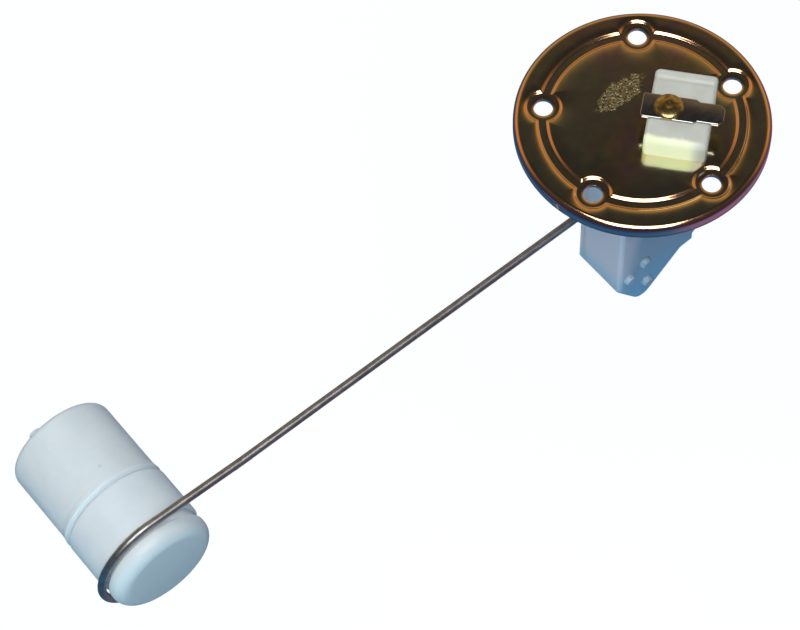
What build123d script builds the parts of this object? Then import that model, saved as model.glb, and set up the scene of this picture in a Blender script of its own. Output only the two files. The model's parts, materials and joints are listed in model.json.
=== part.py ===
"""Fuel level sender: a stamped flange, a rheostat case below it and a float on a long wire arm.

Frame, in millimetres: the origin is the centre of the flange in the plane of its rim, +Z points up
out of the tank, +X points along the arm towards the float, and the arm's pivot lies along +Y.
"""

import os
from math import asin, atan2, cos, hypot, radians, sin, tan

from build123d import *

os.makedirs("parts", exist_ok=True)

# Flange
FLANGE_RADIUS = 35.0
SHEET = 1.0
RIM_DEPTH = 4.0
RIM_FILLET = 1.8
HOLE_CIRCLE_RADIUS = 27.0
HOLE_RADIUS = 2.65
HOLE_ANGLES = (19.2, 91.2, 163.2, 231.2, 311.2)
GROOVE_FLOOR_WIDTH = 2.0
GROOVE_WALL_WIDTH = 0.8
GROOVE_DEPTH = 0.7
DIMPLE_RADIUS = 4.8

# Terminal pad, laid out along its own length and width directions on the flange
PAD_ANGLE = 39.5
PAD_LENGTH = 23.6
PAD_WIDTH = 17.2
PAD_HEIGHT = 7.0
PAD_CENTRE = (-0.6, 10.1)
PAD_CORNER = 2.0
PAD_TOP_FILLET = 1.2
PAD_SLOT_DEPTH = 0.4
PAD_SLOT_WIDTH = 1.6
PAD_SLOT_X = -9.2
SPIGOT_RADIUS = 3.2
PEG_RADIUS = 1.5
PEG_OFFSET = 4.6
PEG_LENGTH = 3.0

# Spade terminal
SPADE_THICKNESS = 0.8
SPADE_HALF_WIDTH = 3.8
TAB_HALF_WIDTH = 3.15
SPADE_START = -0.5
SPADE_STEP = 14.3
SPADE_STEP_HALF = 0.5
SPADE_END = 21.8
SPADE_FILLET = 0.6
TAB_CHAMFER = 1.3

# Rivet through terminal, pad, flange and case roof
RIVET_AT = (0.4, 6.8)
RIVET_RADIUS = 1.5
RIVET_HEAD_RADIUS = 4.0
RIVET_HEAD_HEIGHT = 1.4
RIVET_SHOULDER_RADIUS = 2.9
RIVET_SHOULDER_HEIGHT = 0.95
RIVET_DIMPLE_RADIUS = 0.7
RIVET_DIMPLE_DEPTH = 0.45
CLINCH_HEIGHT = 1.2
CLINCH_TIP = 0.4
CLINCH_FLARE = 1.0
WASHER_BORDER = 1.6
RIVET_WASHER_THICKNESS = 0.6

# Case, its lower edge as (x, z) points from the front corner round to the rear wall
CASE_NEAR = 14.0
CASE_FAR = -3.0
COVER_THICKNESS = 1.6
WALL = 1.6
CASE_ROOF = 4.0
CASE_LOWER_EDGE = (
    (18.0, -54.7), (8.7, -69.1), (-6.0, -55.0), (-10.8, -54.8), (-10.8, -51.4), (-11.8, -50.6)
)
CASE_CORNER_FILLET = 4.0
CASE_TIP_FILLET = 4.0
CASE_FACE_FILLET = 1.4
GASKET = 0.8
GASKET_BORDER = 0.5
GASKET_CORNER = 2.0
COVER_PEG_SPOTS = ((-5.0, -8.0), (14.8, -5.0), (-7.8, -47.0), (14.6, -43.0))
COVER_PEG_RADIUS = 1.1
COVER_PEG_WALL = 0.9
COVER_RIVET_RIM = 0.6
COVER_RIVET_HEIGHT = 0.7
COVER_RIVET_TAPER = 30

# Bearing plate inside the case and its three stakes
PLATE_THICKNESS = 1.2
PLATE_FILLET = 1.2
PLATE_OUTLINE = ((2.6, -43.9), (11.0, -43.9), (15.4, -47.2), (15.4, -49.6), (8.4, -60.0), (1.2, -54.6))
STAKE_SPOTS = ((8.8, -46.0), (14.5, -49.3), (7.4, -58.0))
STAKE_RADIUS = 1.5
STAKE_HEAD_RADIUS = 2.0
STAKE_HEAD_HEIGHT = 1.5
STAKE_HEAD_TAPER = 18
STAKE_HEAD_FILLET = 0.6

# Pivot bush in the cover
BUSH_RADIUS = 2.4
BUSH_FLANGE = 0.9
BUSH_FLANGE_THICKNESS = 0.5
BOSS_RADIUS = 4.0
BOSS_HEIGHT = 2.2
BOSS_TAPER = 4

# Pivot, arm and hook
PIVOT_X = 5.0
PIVOT_Z = -51.3
WIRE_RADIUS = 1.2
PIVOT_CLEARANCE = 0.05
SHAFT_END = 12.0
SHAFT_BEND = 3.0
ARM_Y = -11.5
ARM_RISE = 1.43
ARM_BEND_X = 134.0
ARM_BEND = 120.0
HOOK_CENTRE = (166.3, -63.6)
HOOK_RADIUS = 17.8
HOOK_SWEEP = 232.0

# Float
FLOAT_X = 166.6
FLOAT_Z = -62.7
FLOAT_FAR = -56.4
FLOAT_NEAR = -4.5
FLOAT_SEAM = -28.8
FLOAT_FAR_RADIUS = 16.1
FLOAT_NEAR_RADIUS = 16.5
FLOAT_CAP_RADIUS = 16.3
FLOAT_FAR_FILLET = 2.5
FLOAT_NEAR_FILLET = 4.0
FLOAT_GROOVE_RADIUS = 15.3
FLOAT_GROOVE_WIDTH = 3.2
FLOAT_WALL = 1.6
FLOAT_SPIGOT_RADIUS = 13.8
FLOAT_SPIGOT_LENGTH = 5.0
BEAD = 0.4
BEAD_WIDTH = 1.6
SEAM_NOTCH_RADIUS = 15.4
SEAM_NOTCH_HALF = 0.9
PLUG_AT = (5.3, 10.0)
PLUG_RADIUS = 1.5
PLUG_HEAD_RADIUS = 2.2
PLUG_HEAD_HEIGHT = 1.4
PLUG_HEAD_FILLET = 0.6

# Resistance card, its winding and its brass clips
CARD_INNER = 13.0
CARD_OUTER = 18.0
CARD_START = -54.0
CARD_END = 35.0
CARD_Y = 3.0
CARD_THICKNESS = 1.6
CARD_POST_ANGLES = (-44.0, -16.0, 25.0)
CARD_POST_RADIUS = 1.6
WINDING_DEPTH = 0.4
WINDING_MARGIN = 5.0
BRASS_SHEET = 0.4
CLIP_LENGTH = 2.2
CLIP_INSET = 1.5

# Brass strips
FEED_WIDTH = 4.6
FEED_OVERHANG = 3.0
FEED_GAP = 0.45
GROUND_WIDTH = 3.0

# Rotor on the pivot
HUB_RADIUS = 3.0
HUB_START = -0.3
HUB_END = 10.9
THRUST_WASHER_THICKNESS = 0.5
CRANK_REACH = 9.0
CRANK_HALF_WIDTH = 2.0
CRANK_START = 6.8
CRANK_END = 9.4
WIPER_ANGLE = -33.0
WIPER_REACH = 15.5
WIPER_HALF_WIDTH = 1.3
WIPER_HUB_GAP = 0.3
WIPER_OVERHANG = 1.1
CONTACT_RADIUS = 1.1
CONTACT_GAP = 0.15
CONTACT_FILLET = 0.5

case_front = CASE_LOWER_EDGE[0][0]
case_rear = CASE_LOWER_EDGE[-1][0]
plate_top = RIM_DEPTH
plate_under = RIM_DEPTH - SHEET
case_top = plate_under - GASKET
roof_under = case_top - CASE_ROOF
parting = CASE_FAR + COVER_THICKNESS
near_inside = CASE_NEAR - WALL


def across(y):
    """Upright plane at distance y along the pivot's direction, facing -Y."""
    return Plane.XZ.offset(-y)


def pad_plane(z):
    """Level plane at height z with x along the pad's length and y along the spade."""
    return Plane(origin=(0, 0, z), x_dir=(cos(radians(PAD_ANGLE)), sin(radians(PAD_ANGLE)), 0))


def around_pivot(radius, angle):
    """Point at a radius from the pivot, at an angle from straight up towards the float."""
    return (PIVOT_X + radius * sin(radians(angle)), PIVOT_Z + radius * cos(radians(angle)))


def finish(part, name):
    """Label one piece and write it."""
    part.label = name
    export_step(part, f"parts/{name}.step")


# ---- flange: a pressed disc with a grooved bolt circle and a turned-down rim ----
groove_inner = HOLE_CIRCLE_RADIUS - GROOVE_FLOOR_WIDTH / 2
groove_outer = HOLE_CIRCLE_RADIUS + GROOVE_FLOOR_WIDTH / 2

with BuildPart() as flange_plate:
    with BuildSketch(Plane.XZ) as flange_section:
        with BuildLine():
            Polyline(
                (0, plate_top),
                (groove_inner - GROOVE_WALL_WIDTH, plate_top),
                (groove_inner, plate_top - GROOVE_DEPTH),
                (groove_outer, plate_top - GROOVE_DEPTH),
                (groove_outer + GROOVE_WALL_WIDTH, plate_top),
                (FLANGE_RADIUS, plate_top),
                (FLANGE_RADIUS, 0),
                (FLANGE_RADIUS - SHEET, 0),
                (FLANGE_RADIUS - SHEET, plate_under),
                (groove_outer + GROOVE_WALL_WIDTH, plate_under),
                (groove_outer, plate_under - GROOVE_DEPTH),
                (groove_inner, plate_under - GROOVE_DEPTH),
                (groove_inner - GROOVE_WALL_WIDTH, plate_under),
                (0, plate_under),
                close=True,
            )
        make_face()
        rim_corners = flange_section.vertices().sort_by(Axis.X)
        fillet(rim_corners.group_by(Axis.X)[-1].sort_by(Axis.Y)[-1], RIM_FILLET)
        fillet(rim_corners.group_by(Axis.X)[-2].sort_by(Axis.Y)[-1], RIM_FILLET - SHEET)
    revolve(axis=Axis.Z)
    hole_spots = [
        (HOLE_CIRCLE_RADIUS * cos(radians(a)), HOLE_CIRCLE_RADIUS * sin(radians(a)))
        for a in HOLE_ANGLES
    ]
    with BuildSketch(Plane.XY.offset(plate_under - GROOVE_DEPTH)):
        with Locations(*hole_spots):
            Circle(DIMPLE_RADIUS + SHEET)
    extrude(amount=SHEET)
    with BuildSketch(Plane.XY.offset(plate_top)):
        with Locations(*hole_spots):
            Circle(DIMPLE_RADIUS)
    extrude(amount=-GROOVE_DEPTH, mode=Mode.SUBTRACT)
    with BuildSketch(Plane.XY.offset(plate_top)):
        with Locations(*hole_spots):
            Circle(HOLE_RADIUS)
    extrude(amount=-RIM_DEPTH, mode=Mode.SUBTRACT)
    with BuildSketch(pad_plane(plate_top)):
        with Locations(RIVET_AT):
            Circle(SPIGOT_RADIUS)
        with Locations((-PEG_OFFSET, PAD_CENTRE[1]), (PEG_OFFSET, PAD_CENTRE[1])):
            Circle(PEG_RADIUS)
    extrude(amount=-RIM_DEPTH, mode=Mode.SUBTRACT)
finish(flange_plate.part, "flange_plate")

# ---- moulded pad that carries the spade terminal, with a spigot and two pegs below ----
slot_radius = (PAD_SLOT_WIDTH**2 / 4 + PAD_SLOT_DEPTH**2) / (2 * PAD_SLOT_DEPTH)
slot_plane = Plane(
    origin=pad_plane(plate_top).origin,
    x_dir=pad_plane(plate_top).x_dir,
    z_dir=-pad_plane(plate_top).y_dir,
)

with BuildPart() as terminal_pad:
    with BuildSketch(pad_plane(plate_top)):
        with Locations(PAD_CENTRE):
            RectangleRounded(PAD_LENGTH, PAD_WIDTH, PAD_CORNER)
    extrude(amount=PAD_HEIGHT)
    fillet(terminal_pad.edges().group_by(Axis.Z)[-1], PAD_TOP_FILLET)
    with BuildSketch(slot_plane):
        with Locations((PAD_SLOT_X, PAD_HEIGHT + slot_radius - PAD_SLOT_DEPTH)):
            Circle(slot_radius)
    extrude(amount=-2 * PAD_WIDTH, mode=Mode.SUBTRACT)
    with BuildSketch(pad_plane(plate_top)):
        with Locations(RIVET_AT):
            Circle(SPIGOT_RADIUS)
    extrude(amount=-SHEET - GASKET)
    with BuildSketch(pad_plane(plate_top)):
        with Locations((-PEG_OFFSET, PAD_CENTRE[1]), (PEG_OFFSET, PAD_CENTRE[1])):
            Circle(PEG_RADIUS)
    extrude(amount=-SHEET - GASKET - PEG_LENGTH)
    with BuildSketch(pad_plane(plate_top + PAD_HEIGHT)):
        with Locations(RIVET_AT):
            Circle(RIVET_RADIUS)
    extrude(amount=-2 * PAD_HEIGHT, mode=Mode.SUBTRACT)
finish(terminal_pad.part, "terminal_pad")

# ---- spade terminal: a wide shank under the rivet and a 6.3 mm tab ----
spade_z = plate_top + PAD_HEIGHT

with BuildPart() as spade_terminal:
    with BuildSketch(pad_plane(spade_z)) as spade_outline:
        with BuildLine():
            left = RIVET_AT[0] - SPADE_HALF_WIDTH
            right = RIVET_AT[0] + SPADE_HALF_WIDTH
            tab_left = RIVET_AT[0] - TAB_HALF_WIDTH
            tab_right = RIVET_AT[0] + TAB_HALF_WIDTH
            Polyline(
                (left, SPADE_START),
                (right, SPADE_START),
                (right, SPADE_STEP - SPADE_STEP_HALF),
                (tab_right, SPADE_STEP + SPADE_STEP_HALF),
                (tab_right, SPADE_END),
                (tab_left, SPADE_END),
                (tab_left, SPADE_STEP + SPADE_STEP_HALF),
                (left, SPADE_STEP - SPADE_STEP_HALF),
                close=True,
            )
        make_face()
        chamfer(spade_outline.vertices().group_by(Axis.Y)[-1], TAB_CHAMFER)
        fillet(spade_outline.vertices().group_by(Axis.Y)[0], SPADE_FILLET)
        with Locations(RIVET_AT):
            Circle(RIVET_RADIUS, mode=Mode.SUBTRACT)
    extrude(amount=SPADE_THICKNESS)
finish(spade_terminal.part, "spade_terminal")

# ---- brass rivet: dimpled dome above, shank through pad, flange and case roof, clinch below ----
rivet_point = pad_plane(0).from_local_coords((*RIVET_AT, 0))
head_z = spade_z + SPADE_THICKNESS
clinch_z = roof_under - BRASS_SHEET - RIVET_WASHER_THICKNESS

with BuildPart() as terminal_rivet:
    with BuildSketch(Plane(origin=rivet_point, x_dir=(1, 0, 0), z_dir=(0, -1, 0))):
        with BuildLine():
            dome_start = (RIVET_HEAD_RADIUS, head_z)
            dome_shoulder = (RIVET_SHOULDER_RADIUS, head_z + RIVET_SHOULDER_HEIGHT)
            dome_end = (RIVET_DIMPLE_RADIUS, head_z + RIVET_HEAD_HEIGHT)
            dimple_floor = (0, head_z + RIVET_HEAD_HEIGHT - RIVET_DIMPLE_DEPTH)
            Polyline(
                dimple_floor,
                (0, clinch_z - CLINCH_HEIGHT),
                (RIVET_RADIUS + CLINCH_TIP, clinch_z - CLINCH_HEIGHT),
                (RIVET_RADIUS + CLINCH_FLARE, clinch_z),
                (RIVET_RADIUS, clinch_z),
                (RIVET_RADIUS, head_z),
                dome_start,
            )
            ThreePointArc(dome_start, dome_shoulder, dome_end)
            Line(dome_end, dimple_floor)
        make_face()
    revolve(axis=Axis(rivet_point, (0, 0, 1)))
finish(terminal_rivet.part, "terminal_rivet")

with BuildPart() as rivet_washer:
    with BuildSketch(pad_plane(clinch_z)):
        with Locations(RIVET_AT):
            Circle(RIVET_RADIUS + WASHER_BORDER)
            Circle(RIVET_RADIUS, mode=Mode.SUBTRACT)
    extrude(amount=RIVET_WASHER_THICKNESS)
finish(rivet_washer.part, "rivet_washer")

# ---- outline of the case, seen along the pivot: straight front, rounded V below the pivot ----
with BuildSketch(Plane.XZ) as case_outline:
    Polygon((case_rear, case_top), (case_front, case_top), *CASE_LOWER_EDGE, align=None)
    fillet(case_outline.vertices().sort_by(Axis.Y)[0], CASE_TIP_FILLET)
    fillet(case_outline.vertices().sort_by_distance(CASE_LOWER_EDGE[0])[0], CASE_CORNER_FILLET)

with BuildSketch(Plane.XZ) as cavity_outline:
    add(case_outline.sketch)
    offset(amount=-WALL, mode=Mode.REPLACE)
    with Locations((0, roof_under)):
        Rectangle(
            2 * (case_front - case_rear),
            2 * CASE_ROOF,
            align=(Align.CENTER, Align.MIN),
            mode=Mode.SUBTRACT,
        )

# ---- gasket between the flange and the case roof ----
with BuildPart() as case_gasket:
    with BuildSketch(Plane.XY.offset(case_top)):
        with Locations(((case_front + case_rear) / 2, (CASE_NEAR + CASE_FAR) / 2)):
            RectangleRounded(
                case_front - case_rear + 2 * GASKET_BORDER,
                CASE_NEAR - CASE_FAR + 2 * GASKET_BORDER,
                GASKET_CORNER,
            )
    extrude(amount=GASKET)
    with BuildSketch(pad_plane(case_top)):
        with Locations(RIVET_AT):
            Circle(SPIGOT_RADIUS)
        with Locations((-PEG_OFFSET, PAD_CENTRE[1]), (PEG_OFFSET, PAD_CENTRE[1])):
            Circle(PEG_RADIUS)
    extrude(amount=GASKET, mode=Mode.SUBTRACT)
    with BuildSketch(Plane.XY.offset(case_top)):
        with Locations((PIVOT_X, parting)):
            Rectangle(GROUND_WIDTH, BRASS_SHEET, align=(Align.CENTER, Align.MIN))
    extrude(amount=GASKET, mode=Mode.SUBTRACT)
finish(case_gasket.part, "case_gasket")

# ---- case body, open towards the arm, with four pegs for the cover ----
with BuildPart() as case_body:
    with BuildSketch(across(CASE_NEAR)):
        add(case_outline.sketch)
    extrude(amount=CASE_NEAR - parting)
    fillet(case_body.faces().sort_by(Axis.Y)[-1].edges(), CASE_FACE_FILLET)
    with BuildSketch(across(near_inside)):
        add(cavity_outline.sketch)
    extrude(amount=near_inside - parting, mode=Mode.SUBTRACT)
    with BuildSketch(across(near_inside)):
        with Locations(*COVER_PEG_SPOTS):
            Circle(COVER_PEG_RADIUS + COVER_PEG_WALL)
    extrude(amount=near_inside - parting)
    with BuildSketch(across(parting)):
        with Locations(*COVER_PEG_SPOTS):
            Circle(COVER_PEG_RADIUS)
    extrude(amount=COVER_THICKNESS)
    with BuildSketch(across(CASE_FAR)):
        with Locations(*COVER_PEG_SPOTS):
            Circle(COVER_PEG_RADIUS + COVER_RIVET_RIM)
    extrude(amount=COVER_RIVET_HEIGHT, taper=COVER_RIVET_TAPER)
    with BuildSketch(across(CASE_NEAR)):
        with Locations(*STAKE_SPOTS):
            Circle(STAKE_RADIUS)
    extrude(amount=WALL, mode=Mode.SUBTRACT)
    with BuildSketch(pad_plane(case_top)):
        with Locations(RIVET_AT):
            Circle(RIVET_RADIUS)
    extrude(amount=-CASE_ROOF, mode=Mode.SUBTRACT)
    with BuildSketch(pad_plane(case_top)):
        with Locations((-PEG_OFFSET, PAD_CENTRE[1]), (PEG_OFFSET, PAD_CENTRE[1])):
            Circle(PEG_RADIUS)
    extrude(amount=-PEG_LENGTH, mode=Mode.SUBTRACT)
    with BuildSketch(Plane.XY.offset(case_top)):
        with Locations((PIVOT_X, parting)):
            Rectangle(GROUND_WIDTH, BRASS_SHEET, align=(Align.CENTER, Align.MIN))
    extrude(amount=-CASE_ROOF, mode=Mode.SUBTRACT)
finish(case_body.part, "case_body")

# ---- case cover on the arm's side, with a boss for the pivot bush ----
card_middle = (CARD_INNER + CARD_OUTER) / 2

with BuildPart() as case_cover:
    with BuildSketch(across(parting)):
        add(case_outline.sketch)
    extrude(amount=COVER_THICKNESS)
    with BuildSketch(across(CASE_FAR)):
        with Locations((PIVOT_X, PIVOT_Z)):
            Circle(BOSS_RADIUS)
    extrude(amount=BOSS_HEIGHT, taper=BOSS_TAPER)
    with BuildSketch(across(parting)):
        with Locations((PIVOT_X, PIVOT_Z)):
            Circle(BUSH_RADIUS)
        with Locations(*COVER_PEG_SPOTS):
            Circle(COVER_PEG_RADIUS)
    extrude(amount=COVER_THICKNESS + BOSS_HEIGHT, mode=Mode.SUBTRACT)
    with BuildSketch(across(CARD_Y - WINDING_DEPTH)):
        with Locations(*[around_pivot(card_middle, angle) for angle in CARD_POST_ANGLES]):
            Circle(CARD_POST_RADIUS)
    extrude(amount=CARD_Y - WINDING_DEPTH - parting)
finish(case_cover.part, "case_cover")

# ---- flanged bush for the pivot, pressed into the cover's boss ----
with BuildPart() as pivot_bush:
    with BuildSketch(across(parting + BUSH_FLANGE_THICKNESS)):
        with Locations((PIVOT_X, PIVOT_Z)):
            Circle(BUSH_RADIUS + BUSH_FLANGE)
    extrude(amount=BUSH_FLANGE_THICKNESS)
    with BuildSketch(across(parting)):
        with Locations((PIVOT_X, PIVOT_Z)):
            Circle(BUSH_RADIUS)
    extrude(amount=COVER_THICKNESS + BOSS_HEIGHT)
    with BuildSketch(across(CASE_FAR - BOSS_HEIGHT)):
        with Locations((PIVOT_X, PIVOT_Z)):
            Circle(WIRE_RADIUS + PIVOT_CLEARANCE)
    extrude(until=Until.LAST, dir=(0, 1, 0), mode=Mode.SUBTRACT)
finish(pivot_bush.part, "pivot_bush")

# ---- bearing plate for the pivot's inner end, staked through the near wall ----
with BuildPart() as bearing_plate:
    with BuildSketch(across(near_inside)) as bearing_outline:
        Polygon(*PLATE_OUTLINE, align=None)
        fillet(bearing_outline.vertices(), PLATE_FILLET)
        with Locations((PIVOT_X, PIVOT_Z)):
            Circle(WIRE_RADIUS + PIVOT_CLEARANCE, mode=Mode.SUBTRACT)
    extrude(amount=PLATE_THICKNESS)
    with BuildSketch(across(near_inside)):
        with Locations(*STAKE_SPOTS):
            Circle(STAKE_RADIUS)
    extrude(amount=-WALL)
    with BuildSketch(across(CASE_NEAR)):
        with Locations(*STAKE_SPOTS):
            Circle(STAKE_HEAD_RADIUS)
    extrude(amount=-STAKE_HEAD_HEIGHT, taper=STAKE_HEAD_TAPER)
    fillet(bearing_plate.faces().sort_by(Axis.Y)[-1].edges(), STAKE_HEAD_FILLET)
finish(bearing_plate.part, "bearing_plate")

# ---- resistance card, a flat arc of board around the pivot, and the wire wound on it ----
def arc_face(spread, start, end):
    """Face in the card's outline between two angles, wider than the card by spread all round."""
    inner = CARD_INNER - spread
    outer = CARD_OUTER + spread
    middle = (start + end) / 2
    inner_start = around_pivot(inner, start)
    outer_start = around_pivot(outer, start)
    outer_end = around_pivot(outer, end)
    inner_end = around_pivot(inner, end)
    outer_arc = ThreePointArc(outer_start, around_pivot(outer, middle), outer_end)
    inner_arc = ThreePointArc(inner_end, around_pivot(inner, middle), inner_start)
    start_line = Line(inner_start, outer_start)
    end_line = Line(outer_end, inner_end)
    return Face(Wire([start_line, outer_arc, end_line, inner_arc]))


card_back = CARD_Y + CARD_THICKNESS
wound_span = (CARD_START + WINDING_MARGIN, CARD_END - WINDING_MARGIN)
feed_span = (CARD_START + CLIP_INSET, CARD_START + CLIP_INSET + CLIP_LENGTH)
end_span = (CARD_END - CLIP_INSET - CLIP_LENGTH, CARD_END - CLIP_INSET)
card_face = arc_face(0, CARD_START, CARD_END)
wound_face = arc_face(0, *wound_span)
winding_face = arc_face(WINDING_DEPTH, *wound_span)
feed_face = arc_face(0, *feed_span)
feed_clip_face = arc_face(BRASS_SHEET, *feed_span)
end_face = arc_face(0, *end_span)
end_clip_face = arc_face(BRASS_SHEET, *end_span)

with BuildPart() as resistance_card:
    with BuildSketch(across(card_back)):
        add(card_face)
    extrude(amount=CARD_THICKNESS)
finish(resistance_card.part, "resistance_card")

with BuildPart() as resistance_winding:
    with BuildSketch(across(card_back + WINDING_DEPTH)):
        add(winding_face)
    extrude(amount=CARD_THICKNESS + 2 * WINDING_DEPTH)
    with BuildSketch(across(card_back)):
        add(wound_face)
    extrude(amount=CARD_THICKNESS, mode=Mode.SUBTRACT)
finish(resistance_winding.part, "resistance_winding")

# ---- brass clips folded over the card's two ends ----
with BuildPart() as feed_clip:
    with BuildSketch(across(card_back)):
        add(feed_clip_face)
    extrude(amount=CARD_THICKNESS + BRASS_SHEET)
    with BuildSketch(across(card_back)):
        add(feed_face)
    extrude(amount=CARD_THICKNESS, mode=Mode.SUBTRACT)
finish(feed_clip.part, "feed_clip")

with BuildPart() as end_clip:
    with BuildSketch(across(card_back)):
        add(end_clip_face)
    extrude(amount=CARD_THICKNESS + BRASS_SHEET)
    with BuildSketch(across(card_back)):
        add(end_face)
    extrude(amount=CARD_THICKNESS, mode=Mode.SUBTRACT)
finish(end_clip.part, "end_clip")

# ---- brass strip from the rivet down the rear wall to the feed clip ----
strip_end = around_pivot(CARD_OUTER + BRASS_SHEET, sum(feed_span) / 2)
strip_level = roof_under - BRASS_SHEET / 2

with BuildPart() as feed_strip:
    with BuildSketch(across(rivet_point.Y + FEED_WIDTH / 2)):
        with BuildLine():
            Polyline(
                (rivet_point.X + FEED_OVERHANG, strip_level),
                (strip_end[0], strip_level),
                (strip_end[0], strip_end[1] + FEED_GAP),
            )
            offset(amount=BRASS_SHEET / 2, side=Side.BOTH)
        make_face()
    extrude(amount=FEED_WIDTH)
    with BuildSketch(Plane.XY.offset(roof_under)):
        with Locations((rivet_point.X, rivet_point.Y)):
            Circle(RIVET_RADIUS)
    extrude(amount=-BRASS_SHEET, mode=Mode.SUBTRACT)
finish(feed_strip.part, "feed_strip")

# ---- brass strip from the flange down the cover to the pivot bush: the arm's ground ----
with BuildPart() as ground_strip:
    with BuildSketch(across(parting + BRASS_SHEET)):
        with Locations((PIVOT_X, plate_under)):
            Rectangle(
                GROUND_WIDTH,
                plate_under - PIVOT_Z - BUSH_RADIUS - BUSH_FLANGE,
                align=(Align.CENTER, Align.MAX),
            )
    extrude(amount=BRASS_SHEET)
finish(ground_strip.part, "ground_strip")

# ---- rotor on the pivot: washer, moulded hub, spring wiper and its contact ----
with BuildPart() as thrust_washer:
    with BuildSketch(across(HUB_START)):
        with Locations((PIVOT_X, PIVOT_Z)):
            Circle(HUB_RADIUS)
            Circle(WIRE_RADIUS, mode=Mode.SUBTRACT)
    extrude(amount=THRUST_WASHER_THICKNESS)
finish(thrust_washer.part, "thrust_washer")


def rotor_plane(y):
    """Upright plane at y, centred on the pivot, with its local y axis along the wiper."""
    turn = radians(WIPER_ANGLE)
    across_wiper = (cos(turn), 0, -sin(turn))
    return Plane(origin=(PIVOT_X, y, PIVOT_Z), x_dir=across_wiper, z_dir=(0, -1, 0))


with BuildPart() as rotor_hub:
    with BuildSketch(rotor_plane(HUB_END)):
        Circle(HUB_RADIUS)
    extrude(amount=HUB_END - HUB_START)
    with BuildSketch(rotor_plane(CRANK_END)):
        Rectangle(2 * CRANK_HALF_WIDTH, CRANK_REACH, align=(Align.CENTER, Align.MIN))
    extrude(amount=CRANK_END - CRANK_START)
    with BuildSketch(rotor_plane(HUB_END)):
        Circle(WIRE_RADIUS)
    extrude(amount=HUB_END - HUB_START, mode=Mode.SUBTRACT)
finish(rotor_hub.part, "rotor_hub")

with BuildPart() as wiper_arm:
    with BuildSketch(rotor_plane(CRANK_START)):
        with Locations((0, HUB_RADIUS + WIPER_HUB_GAP)):
            Rectangle(
                2 * WIPER_HALF_WIDTH,
                WIPER_REACH + WIPER_OVERHANG - HUB_RADIUS,
                align=(Align.CENTER, Align.MIN),
            )
    extrude(amount=BRASS_SHEET)
finish(wiper_arm.part, "wiper_arm")

contact_top = CRANK_START - BRASS_SHEET
contact_length = contact_top - card_back - WINDING_DEPTH - CONTACT_GAP

with BuildPart() as wiper_contact:
    with BuildSketch(rotor_plane(contact_top)):
        with Locations((0, WIPER_REACH)):
            Circle(CONTACT_RADIUS)
    extrude(amount=contact_length)
    fillet(wiper_contact.edges().group_by(Axis.Y)[0], CONTACT_FILLET)
finish(wiper_contact.part, "wiper_contact")

# ---- arm: one wire, bent from the pivot shaft into the long arm and the hook round the float ----
bend_point = (ARM_BEND_X, PIVOT_Z + (ARM_BEND_X - PIVOT_X) * tan(radians(ARM_RISE)))
hook_dx = HOOK_CENTRE[0] - bend_point[0]
hook_dz = HOOK_CENTRE[1] - bend_point[1]
hook_slope = atan2(hook_dz, hook_dx) + asin(HOOK_RADIUS / hypot(hook_dx, hook_dz))


def on_hook(sweep):
    """Point on the hook, a sweep in degrees on from where the straight arm meets it."""
    turn = hook_slope - radians(sweep)
    return (
        HOOK_CENTRE[0] - HOOK_RADIUS * sin(turn),
        ARM_Y,
        HOOK_CENTRE[1] + HOOK_RADIUS * cos(turn),
    )


with BuildPart() as float_arm:
    with BuildLine() as arm_path:
        FilletPolyline(
            (PIVOT_X, SHAFT_END, PIVOT_Z),
            (PIVOT_X, ARM_Y, PIVOT_Z),
            (bend_point[0], ARM_Y, bend_point[1]),
            on_hook(0),
            radius=[SHAFT_BEND, ARM_BEND],
        )
        ThreePointArc(on_hook(0), on_hook(HOOK_SWEEP / 2), on_hook(HOOK_SWEEP))
    with BuildSketch(across(SHAFT_END)):
        with Locations((PIVOT_X, PIVOT_Z)):
            Circle(WIRE_RADIUS)
    sweep(path=arm_path.line)
finish(float_arm.part, "float_arm")

# ---- float: two shells that meet at the seam, with a groove for the hook and a plug ----
float_plane = Plane(origin=(FLOAT_X, 0, FLOAT_Z), x_dir=(0, 1, 0), z_dir=(1, 0, 0))
float_axis = Axis((FLOAT_X, 0, FLOAT_Z), (0, 1, 0))
far_inner = FLOAT_FAR_RADIUS - FLOAT_WALL
plug_spot = (FLOAT_X + PLUG_AT[0], FLOAT_Z + PLUG_AT[1])
groove_start = ARM_Y - FLOAT_GROOVE_WIDTH / 2
groove_end = ARM_Y + FLOAT_GROOVE_WIDTH / 2

with BuildPart() as float_far_shell:
    with BuildSketch(float_plane) as far_section:
        with BuildLine():
            Polyline(
                (FLOAT_FAR, 0),
                (FLOAT_FAR, FLOAT_FAR_RADIUS),
                (FLOAT_SEAM - BEAD_WIDTH, FLOAT_FAR_RADIUS),
                (FLOAT_SEAM - BEAD_WIDTH, FLOAT_FAR_RADIUS + BEAD),
                (FLOAT_SEAM - SEAM_NOTCH_HALF, FLOAT_FAR_RADIUS + BEAD),
                (FLOAT_SEAM, SEAM_NOTCH_RADIUS),
                (FLOAT_SEAM, far_inner),
                (FLOAT_FAR + FLOAT_WALL, far_inner),
                (FLOAT_FAR + FLOAT_WALL, 0),
                close=True,
            )
        make_face()
        far_rim = far_section.vertices().sort_by_distance((FLOAT_FAR, FLOAT_FAR_RADIUS))[0]
        fillet(far_rim, FLOAT_FAR_FILLET)
    revolve(axis=float_axis)
    with BuildSketch(across(FLOAT_FAR)):
        with Locations(plug_spot):
            Circle(PLUG_RADIUS)
    extrude(amount=-FLOAT_WALL, mode=Mode.SUBTRACT)
finish(float_far_shell.part, "float_far_shell")

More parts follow.
